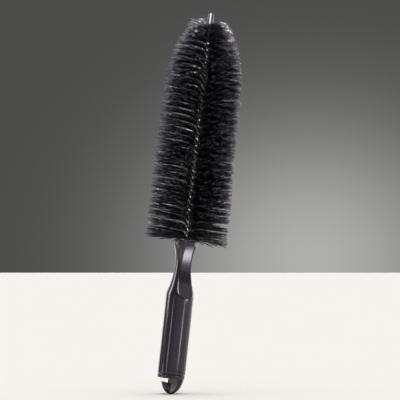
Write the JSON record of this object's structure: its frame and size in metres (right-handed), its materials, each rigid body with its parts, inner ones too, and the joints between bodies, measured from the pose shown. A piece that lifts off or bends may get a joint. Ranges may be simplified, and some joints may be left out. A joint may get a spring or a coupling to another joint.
{
  "type": "wheel brush",
  "caption": "Long tapered wheel-cleaning brush: dense black bristles on a twisted-wire stem, a round grip with a scooped neck, and a hanging hook that swivels.",
  "frame": {"origin": "middle of the round grip, on the brush's axis", "axes": "+Z along the brush towards its tip; -Y is the front, square to the hook's flat faces; the hook's slot opens to -X; the neck's scoops face 30 degrees round from -Y towards +X, and the opposite way"},
  "size_m": [0.0944, 0.0944, 0.43],
  "materials": {
    "handle_plastic": "satin moulded black plastic",
    "collar_plastic": "semi-gloss black plastic",
    "wire_steel": "drawn galvanised wire",
    "ferrule_steel": "plain crimped steel",
    "washer_steel": "spring steel",
    "tip_plastic": "glossy black plastic",
    "hook_plastic": "semi-gloss moulded black plastic",
    "bristle": "black nylon filament, slightly glossy along each filament"
  },
  "bodies": {
    "brush": {"handle_body": "handle_plastic", "neck_collar": "collar_plastic", "wire_strand_a": "wire_steel", "wire_strand_b": "wire_steel", "crimp_ferrule": "ferrule_steel", "lock_washer": "washer_steel", "tip_cap": "tip_plastic", "bristle_turn_01": "bristle", "bristle_turn_02": "bristle", "bristle_turn_03": "bristle", "bristle_turn_04": "bristle", "bristle_turn_05": "bristle", "bristle_turn_06": "bristle", "bristle_turn_07": "bristle", "bristle_turn_08": "bristle", "bristle_turn_09": "bristle", "bristle_turn_10": "bristle", "bristle_turn_11": "bristle", "bristle_turn_12": "bristle", "bristle_turn_13": "bristle", "bristle_turn_14": "bristle", "bristle_turn_15": "bristle", "bristle_turn_16": "bristle", "bristle_turn_17": "bristle"},
    "hook": {"hook_cap": "hook_plastic"}
  },
  "joints": [
    {"name": "hook_swivel", "type": "hinge", "parent": "brush", "child": "hook", "pos_m": [0, 0, -0.0463], "axis": [0, 0, 1], "continuous": true}
  ]
}
